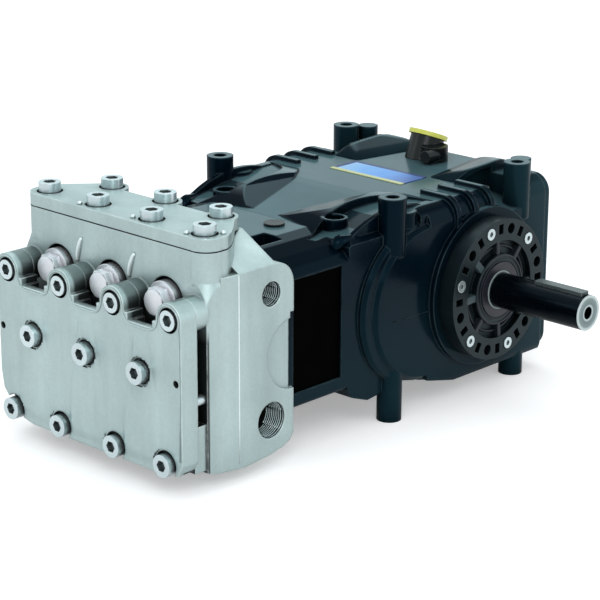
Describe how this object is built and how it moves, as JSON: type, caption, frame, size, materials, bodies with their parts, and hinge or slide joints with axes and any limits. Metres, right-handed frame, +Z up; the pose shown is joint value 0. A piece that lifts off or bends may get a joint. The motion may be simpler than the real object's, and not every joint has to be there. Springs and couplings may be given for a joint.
{
  "type": "plunger pump",
  "caption": "Horizontal crank-driven plunger pump: black crank casing on foot columns, open plunger chamber, silver valve block with bolted covers, side ports and a keyed drive shaft",
  "frame": {"origin": "on the base plane, at the middle of the four foot columns' holes", "axes": "+X along the crankshaft towards its free end, +Y along the plungers from the valve block to the crank casing, +Z up"},
  "size_m": [0.516, 0.682, 0.3115],
  "materials": {
    "black_paint": "gloss black enamel",
    "black_plate": "satin black",
    "head_silver": "satin silver",
    "bolt_steel": "zinc plated",
    "shaft_steel": "dark oiled steel",
    "key_steel": "ground steel",
    "plunger_ceramic": "polished",
    "seal_rubber": "matte",
    "plate_blue": "printed aluminium, bare of text",
    "cap_yellow": "gloss",
    "neck_black": "matte"
  },
  "bodies": {
    "casing": {"crankcase": "black_paint", "rear_cover": "black_paint", "rear_cover_bolts": "bolt_steel", "drive_bearing_cover": "black_paint", "drive_cover_bolts": "bolt_steel", "shaft_seal": "seal_rubber", "blind_bearing_cover": "black_paint", "blind_cover_bolts": "bolt_steel", "plungers": "plunger_ceramic", "gland_housings": "bolt_steel", "side_plate_right": "black_plate", "side_plate_left": "black_plate", "chamber_plugs": "black_plate", "tie_screws": "bolt_steel", "name_plate": "plate_blue", "filler_neck": "neck_black", "filler_cap": "cap_yellow", "breather_block": "neck_black", "drain_plug": "bolt_steel", "valve_block": "head_silver", "top_cover": "head_silver", "top_cover_front_bolts": "bolt_steel", "top_cover_rear_bolts": "bolt_steel", "front_cover": "head_silver", "front_cover_ear_bolts": "bolt_steel", "front_cover_middle_bolts": "bolt_steel", "front_cover_lower_bolts": "bolt_steel", "valve_plug_left": "bolt_steel", "valve_plug_middle": "bolt_steel", "valve_plug_right": "bolt_steel", "spacer_pegs": "bolt_steel"},
    "shaft": {"drive_shaft": "shaft_steel", "shaft_key": "key_steel"}
  },
  "joints": [
    {"name": "shaft_spin", "type": "hinge", "parent": "casing", "child": "shaft", "pos_m": [0, 0.035, 0.144], "axis": [1, 0, 0], "continuous": true}
  ]
}
